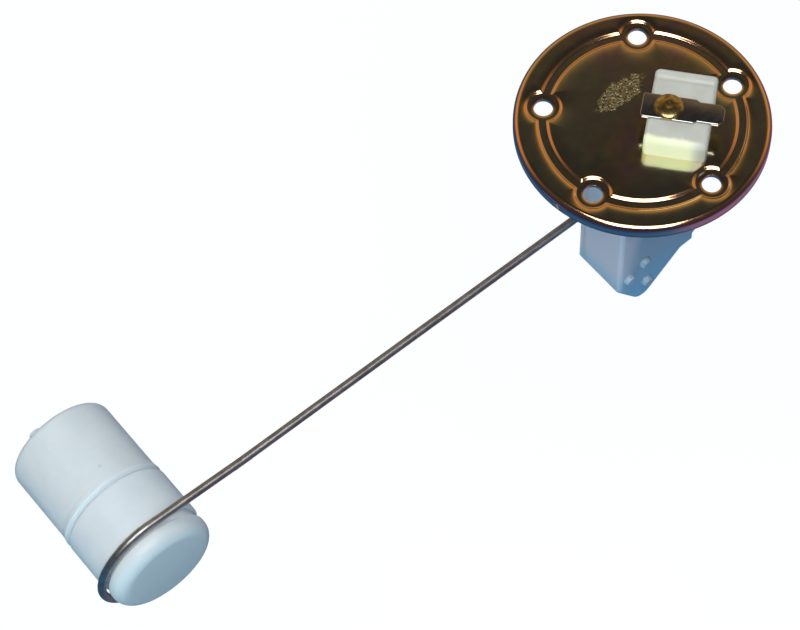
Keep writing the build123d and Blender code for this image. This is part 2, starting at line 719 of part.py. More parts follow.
with BuildPart() as float_near_shell:
    with BuildSketch(float_plane) as near_section:
        with BuildLine():
            Polyline(
                (FLOAT_SEAM - FLOAT_SPIGOT_LENGTH, FLOAT_SPIGOT_RADIUS),
                (FLOAT_SEAM - FLOAT_SPIGOT_LENGTH, far_inner),
                (FLOAT_SEAM, far_inner),
                (FLOAT_SEAM, SEAM_NOTCH_RADIUS),
                (FLOAT_SEAM + SEAM_NOTCH_HALF, FLOAT_NEAR_RADIUS),
                (groove_start, FLOAT_NEAR_RADIUS),
                (groove_start, FLOAT_GROOVE_RADIUS),
                (groove_end, FLOAT_GROOVE_RADIUS),
                (groove_end, FLOAT_CAP_RADIUS),
                (FLOAT_NEAR, FLOAT_CAP_RADIUS),
                (FLOAT_NEAR, 0),
                (FLOAT_NEAR - FLOAT_WALL, 0),
                (FLOAT_NEAR - FLOAT_WALL, FLOAT_SPIGOT_RADIUS),
                close=True,
            )
        make_face()
        near_rim = near_section.vertices().sort_by_distance((FLOAT_NEAR, FLOAT_CAP_RADIUS))[0]
        fillet(near_rim, FLOAT_NEAR_FILLET)
    revolve(axis=float_axis)
finish(float_near_shell.part, "float_near_shell")

with BuildPart() as float_plug:
    with BuildSketch(across(FLOAT_FAR + FLOAT_WALL)):
        with Locations(plug_spot):
            Circle(PLUG_RADIUS)
    extrude(amount=FLOAT_WALL)
    with BuildSketch(across(FLOAT_FAR)):
        with Locations(plug_spot):
            Circle(PLUG_HEAD_RADIUS)
    extrude(amount=PLUG_HEAD_HEIGHT)
    fillet(float_plug.faces().sort_by(Axis.Y)[0].edges(), PLUG_HEAD_FILLET)
finish(float_plug.part, "float_plug")
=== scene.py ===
"""Looks for the fuel level sender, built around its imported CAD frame. Metres, +Z up."""

import json
from math import acos, asin, atan2, cos, hypot, pi, radians, sin, tan

import bmesh
import bpy
import numpy as np
from mathutils import Matrix, Vector


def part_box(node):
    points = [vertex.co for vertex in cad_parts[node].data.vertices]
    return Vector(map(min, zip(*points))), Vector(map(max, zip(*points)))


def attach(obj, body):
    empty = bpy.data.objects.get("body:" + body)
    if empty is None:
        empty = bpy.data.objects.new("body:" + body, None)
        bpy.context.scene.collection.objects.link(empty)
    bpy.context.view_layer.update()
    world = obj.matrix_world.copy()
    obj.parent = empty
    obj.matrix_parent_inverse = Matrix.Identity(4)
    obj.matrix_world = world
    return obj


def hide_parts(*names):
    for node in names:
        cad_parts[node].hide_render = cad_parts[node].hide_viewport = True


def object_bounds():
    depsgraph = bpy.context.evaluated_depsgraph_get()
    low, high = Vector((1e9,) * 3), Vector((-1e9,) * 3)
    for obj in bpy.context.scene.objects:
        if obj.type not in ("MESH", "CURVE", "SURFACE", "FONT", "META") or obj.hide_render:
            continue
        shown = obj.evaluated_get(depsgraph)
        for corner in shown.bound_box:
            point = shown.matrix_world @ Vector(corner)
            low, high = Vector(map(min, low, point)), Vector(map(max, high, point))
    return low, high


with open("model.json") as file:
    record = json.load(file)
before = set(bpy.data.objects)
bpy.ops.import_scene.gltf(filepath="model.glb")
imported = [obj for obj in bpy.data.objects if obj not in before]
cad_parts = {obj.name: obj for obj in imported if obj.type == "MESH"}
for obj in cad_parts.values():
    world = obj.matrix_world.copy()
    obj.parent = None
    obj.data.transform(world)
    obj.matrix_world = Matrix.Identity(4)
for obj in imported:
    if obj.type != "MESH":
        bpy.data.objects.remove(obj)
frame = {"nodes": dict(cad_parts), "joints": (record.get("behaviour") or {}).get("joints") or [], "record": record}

cad_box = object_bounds()

MM = 0.001
WORLD_UP = Vector((0, 0, 1))
mounts = {mount["name"]: mount for mount in frame["record"]["mounts"]}
joints = {joint["name"]: joint for joint in frame["joints"]}
pivot = Vector(joints["arm_swing"]["pos_m"])
float_centre = Vector(joints["float_spin"]["pos_m"])
blade = Vector(mounts["blade_tab"]["axis"])  # the way the terminal's tab points
pad_x = blade.cross(WORLD_UP).normalized()  # along the terminal pad, across the blade
plate_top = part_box("flange_plate")[1].z
pad_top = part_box("spade_terminal")[0].z


# ---------------------------------------------------------------- mesh helpers
WELD = 0.001 * MM  # points closer than this become one
CREASE = 40  # degrees: edges sharper than this stay sharp
MITRE_LIMIT = 0.5  # an inset point moves no further than the distance over this
CORNER_STEPS = 6
EDGE_STEPS = 5


def sweep(start, end, steps):
    """Evenly spaced values from start to end, both included."""
    return [start + (end - start) * step / steps for step in range(steps + 1)]


def mesh_object(name, vertices, faces, sharp=CREASE):
    """A smooth-shaded mesh piece with its creases over an angle in degrees kept sharp."""
    mesh = bpy.data.meshes.new(name)
    mesh.from_pydata([tuple(v) for v in vertices], [], faces)
    clean = bmesh.new()
    clean.from_mesh(mesh)
    bmesh.ops.remove_doubles(clean, verts=clean.verts, dist=WELD)
    bmesh.ops.recalc_face_normals(clean, faces=clean.faces)
    clean.to_mesh(mesh)
    clean.free()
    mesh.polygons.foreach_set("use_smooth", [True] * len(mesh.polygons))
    mesh.set_sharp_from_angle(angle=radians(sharp))
    piece = bpy.data.objects.new(name, mesh)
    bpy.context.scene.collection.objects.link(piece)
    return piece


def ring_faces(rings, count, meet=False, closed=True):
    """Quads between rings of count points; meet joins the last ring to the first."""
    faces = []
    for ring in range(rings if meet else rings - 1):
        this, after = ring * count, (ring + 1) % rings * count
        for k in range(count if closed else count - 1):
            n = (k + 1) % count
            faces.append((this + k, this + n, after + n, after + k))
    return faces


def capped(rings, count):
    """Quads between rings of count points, with one face over each end."""
    ends = [tuple(range(count)), tuple(range((rings - 1) * count, rings * count))]
    return ring_faces(rings, count) + ends


def rounded(corners, steps=CORNER_STEPS):
    """Closed outline of (u, v, radius) corners with each corner rounded by an arc."""
    outline = []
    for index, (u, v, radius) in enumerate(corners):
        here = Vector((u, v))
        if radius == 0:
            outline.append(here)
            continue
        back = (Vector(corners[index - 1][:2]) - here).normalized()
        ahead = (Vector(corners[(index + 1) % len(corners)][:2]) - here).normalized()
        half = acos(max(-1, min(1, back.dot(ahead)))) / 2
        centre = here + (back + ahead).normalized() * radius / sin(half)
        start = here + back * radius / tan(half) - centre
        end = here + ahead * radius / tan(half) - centre
        turn = start.angle_signed(end)
        for step in range(steps + 1):
            spin = Matrix.Rotation(-turn * step / steps, 2)
            outline.append(centre + spin @ start)
    return outline


def revolve(name, profile, centre, segments, shape=None):
    """Solid about the Y direction through centre, from a closed (y, radius) profile."""
    vertices = []
    for turn in range(segments):
        angle = 2 * pi * turn / segments
        for y, radius in profile:
            if shape:
                radius = shape(radius, angle)
            vertices.append((centre.x + radius * sin(angle), y, centre.z + radius * cos(angle)))
    return mesh_object(name, vertices, ring_faces(segments, len(profile), meet=True))


def inset(outline, distance):
    """The closed outline moved inwards by a distance, point by point."""
    moved = []
    previous, following = outline[-1:] + outline[:-1], outline[1:] + outline[:1]
    area = sum(here.x * ahead.y - ahead.x * here.y for here, ahead in zip(outline, following))
    side = 1 if area > 0 else -1
    for back, here, ahead in zip(previous, outline, following):
        before = (here - back).normalized()
        after = (ahead - here).normalized()
        along = (before + after).normalized()
        inward = Vector((-along.y, along.x)) * side
        stretch = max(MITRE_LIMIT, inward.dot(Vector((-before.y, before.x)) * side))
        moved.append(here + inward * distance / stretch)
    return moved


def slab(name, outline, place, low, high, low_edge, high_edge):
    """A plate of an outline between two levels, its edges rounded, placed by place(u, v, level)."""
    turns = sweep(0, pi / 2, EDGE_STEPS)
    rings = [(low_edge * (1 - sin(turn)), low + low_edge * (1 - cos(turn))) for turn in turns]
    rings += [(high_edge * (1 - cos(turn)), high - high_edge * (1 - sin(turn))) for turn in turns]
    vertices = []
    for distance, level in rings:
        vertices += [place(point.x, point.y, level) for point in inset(outline, distance)]
    return mesh_object(name, vertices, capped(len(rings), len(outline)))


def paint(piece, material):
    """Give a piece, or a CAD node that stays, its one material."""
    piece.data.materials.clear()
    piece.data.materials.append(material)


def settle(piece, body, slot, material, *nodes):
    """Give a piece its body, material and the CAD nodes that it stands for; slot is not used."""
    paint(piece, material)
    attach(piece, body)
    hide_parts(*nodes)


# ---------------------------------------------------------------- node helpers
class Graph:
    """A node tree, filled by short calls that return sockets."""

    def __init__(self, tree):
        self.tree = tree

    def node(self, kind):
        return self.tree.nodes.new("ShaderNode" + kind)

    def feed(self, socket, value):
        """Link a socket to another one, or set it to a value."""
        if isinstance(value, bpy.types.NodeSocket):
            self.tree.links.new(value, socket)
        elif value is not None:
            socket.default_value = value

    def math(self, operation, a, b=None, c=None):
        node = self.node("Math")
        node.operation = operation
        for socket, value in zip(node.inputs, (a, b, c)):
            self.feed(socket, value)
        return node.outputs[0]

    def scaled(self, value, times, plus):
        """value * times + plus."""
        return self.math("MULTIPLY_ADD", value, times, plus)

    def vector(self, operation, a, b=None):
        node = self.node("VectorMath")
        node.operation = operation
        self.feed(node.inputs[0], a)
        self.feed(node.inputs[1], b)
        return node.outputs["Value" if operation in ("LENGTH", "DOT_PRODUCT") else "Vector"]

    def axis(self, vector, letter):
        node = self.node("SeparateXYZ")
        self.feed(node.inputs[0], vector)
        return node.outputs[letter]

    def ramp(self, factor, stops):
        """Colours along a factor, from (position, colour) stops."""
        node = self.node("ValToRGB")
        self.feed(node.inputs[0], factor)
        elements = node.color_ramp.elements
        while len(elements) < len(stops):
            elements.new(0.5)  # each gets its own position below
        for element, (position, colour) in zip(elements, stops):
            element.position = position
            element.color = (*colour, 1)
        return node.outputs[0]

    def fade(self, value, start, end, most=1.0):
        """Smooth step: 0 where the value is at start, and most where it is at end."""
        node = self.node("MapRange")
        node.interpolation_type = "SMOOTHSTEP"
        for socket, amount in zip(node.inputs, (value, start, end, 0.0, most)):
            self.feed(socket, amount)
        return node.outputs[0]

    def mix(self, factor, a, b):
        """Colour a where the factor is 0, and b where it is 1."""
        node = self.node("Mix")
        node.data_type = "RGBA"
        self.feed(node.inputs["Factor"], factor)
        for socket, value in ((node.inputs[6], a), (node.inputs[7], b)):
            self.feed(socket, (*value, 1) if isinstance(value, tuple) else value)
        return node.outputs[2]


class Surface(Graph):
    """A new material's nodes, with patterns in the object's own coordinates."""

    def __init__(self, name):
        self.material = bpy.data.materials.new(name)
        self.material.use_nodes = True
        super().__init__(self.material.node_tree)
        self.shader = self.tree.nodes["Principled BSDF"]
        coordinates = self.node("TexCoord")
        self.place = coordinates.outputs["Object"]
        self.facing = coordinates.outputs["Normal"]

    def noise(self, size, detail=3, roughness=0.5, distortion=0.0, where=None):
        node = self.node("TexNoise")
        self.feed(node.inputs["Vector"], where or self.place)
        node.inputs["Scale"].default_value = 1 / size
        node.inputs["Detail"].default_value = detail
        node.inputs["Roughness"].default_value = roughness
        node.inputs["Distortion"].default_value = distortion
        return node.outputs[0]

    def cells(self, size):
        node = self.node("TexVoronoi")
        self.feed(node.inputs["Vector"], self.place)
        node.inputs["Scale"].default_value = 1 / size
        return node.outputs["Distance"]

    def bump(self, height, distance, strength, after=None):
        """Relief of a height, on top of the relief in after."""
        node = self.node("Bump")
        node.inputs["Strength"].default_value = strength
        node.inputs["Distance"].default_value = distance
        self.feed(node.inputs["Height"], height)
        self.feed(node.inputs["Normal"], after)
        return node.outputs[0]

    def finish(self, **values):
        """Set the shader's sockets by name, and return the material."""
        for name, value in values.items():
            socket = self.shader.inputs[name.replace("_", " ")]
            if isinstance(value, tuple) and socket.type == "RGBA":
                value = (*value, 1)
            self.feed(socket, value)
        return self.material


# ---------------------------------------------------------------- materials
ZINC_FLAT = (
    (0.30, (0.62, 0.48, 0.54)),
    (0.44, (0.70, 0.54, 0.44)),
    (0.56, (0.74, 0.62, 0.34)),
    (0.70, (0.54, 0.60, 0.36)),
)
ZINC_OLIVE = (0.60, 0.62, 0.42)
# on upright faces these blues and purples are partly the film's own tint and partly a painted reflection of the
# dark blue surroundings
ZINC_BEND = (
    (0.02, (0.42, 0.44, 0.50)),
    (0.25, (0.30, 0.22, 0.34)),
    (0.50, (0.44, 0.19, 0.28)),
    (0.74, (0.86, 0.42, 0.24)),
    (0.86, (1.0, 0.60, 0.40)),
    (0.93, (1.0, 0.60, 0.32)),
    (0.98, (0.70, 0.50, 0.20)),
)
# a painted pink reflection, shown on the steep faces that look towards this side
ZINC_PINK_REFLECTION = (0.95, 0.66, 0.74)
PINK_REFLECTION_SIDE = (-0.35, 0.94, 0)
PATCH_DARK = (0.10, 0.08, 0.035)
PATCH_GOLD = (0.52, 0.44, 0.22)
PATCH_AT = (-0.8 * MM, -9.8 * MM, 0)
PATCH_SCALE = (1 / (8 * MM), 1 / (3.5 * MM), 0)

# faces that look towards this side get the painted blue light
BLUE_LIGHT_SIDE = (0.35, 0.75, -0.56)
GATE_AT = (165.05 * MM, -35.0 * MM, -46.65 * MM)
GATE_GREY = (0.61, 0.67, 0.69)
# painted light on the case's wall: its pale patch and its blue lower end
PAINTED_WALL_LIGHT = (0.72, 0.77, 0.93)
PAINTED_WALL_BLUE = (0.20, 0.60, 0.95)
BLACK = (0, 0, 0)
# the colour of the painted glow on the pad's front
PAINTED_GLOW_YELLOW = (0.36, 0.40, 0.16)


def passivated_zinc():
    """Yellow passivated zinc: an olive mirror on the flats, gold to pink to blue where it bends, and a painted
    pink reflection on the steep faces of one side.
    """
    g = Surface("passivated_zinc")
    level = g.axis(g.facing, "Z")
    cloud = g.noise(size=9 * MM, detail=3, roughness=0.55, distortion=0.8)
    drift = g.noise(size=26 * MM, detail=2)
    flat = g.mix(g.fade(drift, start=0.4, end=0.62), g.ramp(cloud, ZINC_FLAT), ZINC_OLIVE)
    sway = g.math("SUBTRACT", g.noise(size=6 * MM, detail=2), 0.5)
    bend = g.ramp(g.scaled(sway, times=0.12, plus=level), ZINC_BEND)
    # painted pink reflection on the steep faces of one side
    pink_reflection = g.fade(g.vector("DOT_PRODUCT", g.facing, PINK_REFLECTION_SIDE), start=0.35, end=0.95)
    steep = g.fade(level, start=0.6, end=0.2)
    bend = g.mix(g.math("MULTIPLY", pink_reflection, steep), bend, ZINC_PINK_REFLECTION)
    colour = g.mix(g.fade(level, start=0.985, end=0.9995), bend, flat)

    # a worn, pitted patch beside the pad, on the top face only
    off_patch = g.vector("MULTIPLY", g.vector("SUBTRACT", g.place, PATCH_AT), PATCH_SCALE)
    spread = g.math("ADD", g.vector("LENGTH", off_patch), g.noise(size=2.5 * MM, detail=3))
    patch = g.fade(spread, start=1.6, end=1.25)
    crumbs = g.fade(g.noise(size=0.8 * MM, detail=3), start=0.42, end=0.62)
    patch = g.math("MULTIPLY", patch, crumbs)
    patch = g.math("MULTIPLY", patch, g.fade(level, start=0.2, end=0.8))
    specks = g.fade(g.noise(size=0.55 * MM, detail=2), start=0.56, end=0.68)
    colour = g.mix(patch, colour, g.mix(specks, PATCH_DARK, PATCH_GOLD))

    grain = g.noise(size=0.35 * MM, detail=2, roughness=0.6)
    relief = g.bump(g.noise(size=9 * MM, detail=2), distance=0.05 * MM, strength=0.5)
    relief = g.bump(grain, distance=0.006 * MM, strength=0.5, after=relief)
    pits = g.math("MULTIPLY", g.cells(0.45 * MM), patch)
    relief = g.bump(pits, distance=0.2 * MM, strength=0.8, after=relief)
    rough = g.scaled(g.noise(size=3 * MM, detail=4), times=0.12, plus=0.08)
    rough = g.scaled(patch, times=0.3, plus=rough)
    return g.finish(Base_Color=colour, Metallic=1.0, Roughness=rough, Normal=relief)


def white_plastic(name, tint, shade, depth, painted_blue_light=None, detail=None):
    """Translucent moulded plastic: flow clouds, painted blue light on the faces that look down and to the near
    side, a satin skin, a detail.
    """
    g = Surface(name)
    flow = g.noise(size=8 * MM, detail=4, roughness=0.55, distortion=0.4)
    colour = g.mix(g.fade(flow, start=0.35, end=0.7), tint, shade)
    if painted_blue_light:
        # painted blue light on the faces that look down and to the near side
        below = g.fade(g.vector("DOT_PRODUCT", g.facing, BLUE_LIGHT_SIDE), start=-0.2, end=0.55)
        colour = g.mix(below, colour, painted_blue_light)
    if detail:
        colour = detail(g, colour)
    relief = g.bump(g.noise(size=6 * MM, detail=2), distance=0.12 * MM, strength=0.5)
    skin = g.noise(size=0.25 * MM, detail=3, roughness=0.6)
    relief = g.bump(skin, distance=0.008 * MM, strength=0.6, after=relief)
    return g.finish(
        Base_Color=colour,
        Roughness=g.scaled(g.noise(size=2 * MM, detail=3), times=0.14, plus=0.34),
        Normal=relief,
        IOR=1.48,
        Subsurface_Weight=0.6,
        Subsurface_Radius=(0.9, 1.05, 1.2),
        Subsurface_Scale=depth,
    )


def gate_mark(g, colour):
    """The grey dot where the float's shell was gated."""
    away = g.vector("LENGTH", g.vector("SUBTRACT", g.place, GATE_AT))
    return g.mix(g.fade(away, start=0.75 * MM, end=0.3 * MM), colour, GATE_GREY)


def painted_wall_light(g, colour):
    """Painted light on the case's wall: paler towards the arm's side, and painted blue light at the lower end."""
    level = g.axis(g.place, "Z")
    drift = g.scaled(g.noise(size=12 * MM, detail=2), times=5 * MM, plus=-2.5 * MM)
    along = g.math("ADD", g.axis(g.place, "X"), drift)
    slanted = g.scaled(level, times=0.15, plus=along)
    pale = g.fade(slanted, start=4 * MM, end=11 * MM, most=0.9)
    low = g.fade(g.math("ADD", level, drift), start=-42 * MM, end=-62 * MM, most=0.75)
    return g.mix(low, g.mix(pale, colour, PAINTED_WALL_LIGHT), PAINTED_WALL_BLUE)


def painted_mirror_glow(g, colour):
    """Painted yellow glow on the pad's front: an emission that stands in for the light that the mirror plate
    throws on it.
    """
    along = g.vector("DOT_PRODUCT", g.place, tuple(pad_x))
    across = g.vector("DOT_PRODUCT", g.place, tuple(blade))
    cloud = g.scaled(g.noise(size=3 * MM, detail=3), times=2.0 * MM, plus=along)
    front = g.fade(cloud, start=9.6 * MM, end=11.2 * MM)
    side = g.fade(across, start=17.5 * MM, end=13.0 * MM)
    glow = g.mix(g.math("MULTIPLY", front, side), BLACK, PAINTED_GLOW_YELLOW)
    # the pad's front glows with painted light, though it is no lamp
    g.finish(Emission_Color=glow, Emission_Strength=1.0)
    return colour


def plated_steel(name, tint, dark, grain_scale, roughness=0.12, relief=0.01 * MM):
    """Plated or drawn steel with dull stains and fine lines: grain_scale is lines per metre."""
    g = Surface(name)
    stain = g.noise(size=4 * MM, detail=4, roughness=0.6)
    colour = g.mix(g.fade(stain, start=0.35, end=0.7), tint, dark)
    where = g.vector("MULTIPLY", g.place, grain_scale)
    lines = g.noise(size=1.0, detail=2, roughness=0.6, where=where)
    rough = g.scaled(lines, times=0.2, plus=roughness)
    bumps = g.bump(lines, distance=relief, strength=0.5)
    return g.finish(Base_Color=colour, Metallic=1.0, Roughness=rough, Normal=bumps)


def brass(name, tint, tarnish, size):
    """Brass with brown tarnish clouds of a size, and small pits."""
    g = Surface(name)
    cloud = g.noise(size, detail=4, roughness=0.6, distortion=0.5)
    colour = g.mix(g.fade(cloud, start=0.4, end=0.65), tint, tarnish)
    rough = g.scaled(cloud, times=0.2, plus=0.16)
    pits = g.bump(g.noise(size=0.2 * MM, detail=3), distance=0.02 * MM, strength=0.6)
    return g.finish(Base_Color=colour, Metallic=1.0, Roughness=rough, Normal=pits)


def plain(name, tint, shade, size, roughness, relief):
    """A dull moulded or pressed material with mottled colour and a grain of a size."""
    g = Surface(name)
    mottle = g.noise(size, detail=4, roughness=0.6)
    colour = g.mix(mottle, tint, shade)
    rough = g.scaled(mottle, times=0.2, plus=roughness)
    grain = g.bump(mottle, distance=relief, strength=0.6)
    return g.finish(Base_Color=colour, Roughness=rough, Normal=grain)


zinc = passivated_zinc()
acetal = white_plastic(
    "white_acetal",
    tint=(0.68, 0.74, 0.79),
    shade=(0.63, 0.69, 0.74),
    painted_blue_light=(0.33, 0.52, 0.70),
    depth=2.0 * MM,
    detail=painted_wall_light,
)
# the stake heads: a darker, bluer copy of the white acetal, which is painted shade and painted blue light
shaded_stake_acetal = white_plastic(
    "shaded_stake_acetal",
    tint=(0.42, 0.53, 0.64),
    shade=(0.38, 0.49, 0.60),
    painted_blue_light=(0.33, 0.54, 0.73),
    depth=2.0 * MM,
)
float_skin = white_plastic(
    "float_plastic",
    tint=(0.72, 0.78, 0.82),
    shade=(0.68, 0.75, 0.79),
    painted_blue_light=(0.70, 0.87, 1.0),
    depth=2.5 * MM,
    detail=gate_mark,
)
pad_acetal = white_plastic(
    "pad_acetal",
    tint=(0.64, 0.64, 0.58),
    shade=(0.58, 0.58, 0.51),
    depth=1.2 * MM,
    detail=painted_mirror_glow,
)
terminal_steel = plated_steel(
    "tinned_steel",
    tint=(0.55, 0.57, 0.55),
    dark=(0.46, 0.48, 0.46),
    grain_scale=(300, 900, 300),
    roughness=0.06,
    relief=0.002 * MM,
)
wire_steel = plated_steel(
    "steel_wire",
    tint=(0.47, 0.48, 0.48),
    dark=(0.29, 0.30, 0.31),
    grain_scale=(120, 2500, 2500),
    roughness=0.3,
)
winding_wire = plated_steel(
    "resistance_wire",
    tint=(0.60, 0.56, 0.50),
    dark=(0.40, 0.37, 0.32),
    grain_scale=(300, 9000, 300),
)
rivet_brass = brass(
    "rivet_brass", tint=(0.62, 0.48, 0.20), tarnish=(0.30, 0.20, 0.09), size=1.2 * MM
)
strip_brass = brass(
    "strip_brass", tint=(0.80, 0.60, 0.30), tarnish=(0.60, 0.40, 0.18), size=4 * MM
)
rubber = plain(
    "gasket_rubber",
    tint=(0.04, 0.04, 0.04),
    shade=(0.07, 0.07, 0.07),
    size=0.6 * MM,
    roughness=0.6,
    relief=0.03 * MM,
)
board = plain(
    "card_board",
    tint=(0.36, 0.20, 0.09),
    shade=(0.27, 0.14, 0.06),
    size=1.5 * MM,
    roughness=0.5,
    relief=0.02 * MM,
)
nylon = plain(
    "black_nylon",
    tint=(0.05, 0.05, 0.05),
    shade=(0.08, 0.08, 0.08),
    size=1.0 * MM,
    roughness=0.4,
    relief=0.02 * MM,
)


# ---------------------------------------------------------------- stage, light and camera
FLOOR_DROP = 0.2  # below the object's lowest point, so that the float clears it in every pose
FLOOR_HALF = 6.0
FLOOR_GREY = (0.22, 0.22, 0.22)
FLOOR_CLOUD = (0.20, 0.205, 0.21)
FLOOR_LIGHT = (0.98, 0.99, 1.0)
FLOOR_GLOW = 0.84

# the room that reflections show: a warm wall on the far side, a dark one behind, colour below
FAR_SIDE = (-0.588, -0.809, 0)
FAR_WALL = (
    (0.53, (0.13, 0.12, 0.10)),
    (0.60, (0.46, 0.31, 0.17)),
    (0.82, (0.50, 0.32, 0.15)),
    (0.90, (0.10, 0.07, 0.05)),
    (0.93, (0.032, 0.027, 0.028)),
)
NEAR_WALL = (
    (0.53, (0.05, 0.07, 0.09)),
    (0.62, (0.06, 0.065, 0.07)),
    (0.95, (0.035, 0.032, 0.032)),
)
PINK_SIDE = (-0.90, 0.44, 0)
BELOW_BLUE = (0.06, 0.16, 0.28)
BELOW_PINK = (0.22, 0.15, 0.23)
# what lights the object softly, and what the camera sees behind it
SOFT_BELOW = (0.065, 0.15, 0.23)
SOFT_ABOVE = (0.078, 0.102, 0.122)
BACKDROP = (0.96, 0.97, 0.98)

# name, (azimuth, elevation) in degrees, distance, size, watts, colour, shown in reflections
SOFTBOXES = (
    ("key", (54, 67), 1.4, 0.9, 15, (1.0, 0.995, 0.99), True),
    ("fill_front", (-8, 22), 1.6, 0.9, 6.2, (0.97, 1.0, 0.98), False),
    ("fill_near", (66, 12), 1.2, 0.8, 2.4, (0.50, 0.83, 1.0), False),
    ("fill_back", (-130, 32), 1.6, 0.9, 8.0, (0.88, 0.95, 1.0), False),
)

CAMERA_AT = (0.27329, 0.26517, 0.59953)
CAMERA_RIGHT = Vector((-0.7739, 0.6323, -0.0363))
CAMERA_DOWN = Vector((0.571, 0.6718, -0.4719))
SENSOR_WIDTH = 36.0
FOCAL_LENGTH = 117.0
CLIP_END = 20.0


def pale_floor():
    """A pale floor that only the camera sees."""
    z = cad_box[0][2] - FLOOR_DROP
    half = FLOOR_HALF
    corners = [(-half, -half, z), (half, -half, z), (half, half, z), (-half, half, z)]
    floor = mesh_object("floor", corners, [(0, 1, 2, 3)])
    g = Surface("floor")
    tone = g.mix(g.noise(size=0.4, detail=3), FLOOR_GREY, FLOOR_CLOUD)
    glowing = g.finish(
        Base_Color=tone, Roughness=0.9, Emission_Color=FLOOR_LIGHT, Emission_Strength=FLOOR_GLOW
    )
    paint(floor, glowing)
    floor.visible_diffuse = False
    floor.visible_glossy = False
    floor.visible_transmission = False


def room():
    """A soft sky for light, a pale one for the camera, and coloured walls for reflections."""
    world = bpy.data.worlds.new("studio")
    world.use_nodes = True
    g = Graph(world.node_tree)
    direction = g.node("TexCoord").outputs["Generated"]
    height = g.axis(direction, "Z")
    lift = g.scaled(height, times=0.5, plus=0.5)
    far = g.fade(g.vector("DOT_PRODUCT", direction, FAR_SIDE), start=-0.2, end=0.5)
    walls = g.mix(far, g.ramp(lift, NEAR_WALL), g.ramp(lift, FAR_WALL))
    pink = g.fade(g.vector("DOT_PRODUCT", direction, PINK_SIDE), start=0.08, end=0.36)
    below = g.mix(pink, BELOW_BLUE, BELOW_PINK)
    mirrored = g.mix(g.fade(height, start=-0.18, end=-0.02), below, walls)
    soft = g.mix(g.fade(height, start=-0.5, end=0.3), SOFT_BELOW, SOFT_ABOVE)
    path = g.node("LightPath")
    colour = g.mix(path.outputs["Is Glossy Ray"], soft, mirrored)
    colour = g.mix(path.outputs["Is Camera Ray"], colour, BACKDROP)
    g.feed(g.tree.nodes["Background"].inputs["Color"], colour)
    bpy.context.scene.world = world


def softbox(name, direction, distance, size, power, colour, mirrored):
    """A square area light in a direction from the object's middle, facing it."""
    azimuth, elevation = (radians(angle) for angle in direction)
    middle = (Vector(cad_box[0]) + Vector(cad_box[1])) / 2
    away = Vector((cos(azimuth) * cos(elevation), sin(azimuth) * cos(elevation), sin(elevation)))
    lamp = bpy.data.lights.new(name, "AREA")
    lamp.shape = "SQUARE"
    lamp.size = size
    lamp.energy = power
    lamp.color = colour
    piece = bpy.data.objects.new(name, lamp)
    piece.location = middle + away * distance
    piece.rotation_euler = away.to_track_quat("Z", "Y").to_euler()
    piece.visible_glossy = mirrored
    bpy.context.scene.collection.objects.link(piece)


def camera():
    """The camera looks down at the object along the photo's direction, with a slight roll."""
    lens = bpy.data.cameras.new("camera")
    lens.sensor_width = SENSOR_WIDTH
    lens.lens = FOCAL_LENGTH
    lens.clip_end = CLIP_END
    piece = bpy.data.objects.new("camera", lens)
    right = CAMERA_RIGHT.normalized()
    back = right.cross(-CAMERA_DOWN.normalized()).normalized()
    turn = Matrix((right, back.cross(right), back)).transposed().to_4x4()
    piece.matrix_world = Matrix.Translation(CAMERA_AT) @ turn
    bpy.context.scene.collection.objects.link(piece)
    bpy.context.scene.camera = piece


# ---------------------------------------------------------------- flange
GROOVE_HALF = 1.4 * MM
DIMPLE_RADIUS = 4.8 * MM
WALL_HALF = 0.45 * MM  # half the width of a pressed wall
ROLL_DEPTH = 0.22 * MM  # the sheet's soft fall beside a pressed wall
ROLL_REACH = 1.5 * MM
OUTER_ROLL_REACH = 0.7 * MM
LIP_DEPTH = 0.18 * MM  # the punch's rounding at a hole
LIP_REACH = 0.3 * MM
RIM_FILLET = 1.8 * MM
RIM_EDGE = 0.15 * MM
RIM_STEPS = 10
INNER_RIM_STEPS = 6
BAND_COUNT, BAND_STEP = 15, 0.04  # rings on the flat middle, and their step as a share of the radius
PRESSED_FROM, PRESSED_TO = 21.2 * MM, 32.9 * MM
PRESSED_STEP = 0.22 * MM
FLANGE_TURNS = 640
DRILL_SEGMENTS = 96
FLANGE_CREASE = 50


def carve(piece, cutter):
    """Cut a piece with a cutter, keep the result in its mesh and delete the cutter."""
    cut = piece.modifiers.new("cut", "BOOLEAN")
    cut.operation = "DIFFERENCE"
    cut.object = cutter
    bpy.context.view_layer.update()
    seen = piece.evaluated_get(bpy.context.evaluated_depsgraph_get())
    carved = bpy.data.meshes.new_from_object(seen)
    piece.modifiers.clear()
    piece.data = carved
    bpy.data.objects.remove(cutter)


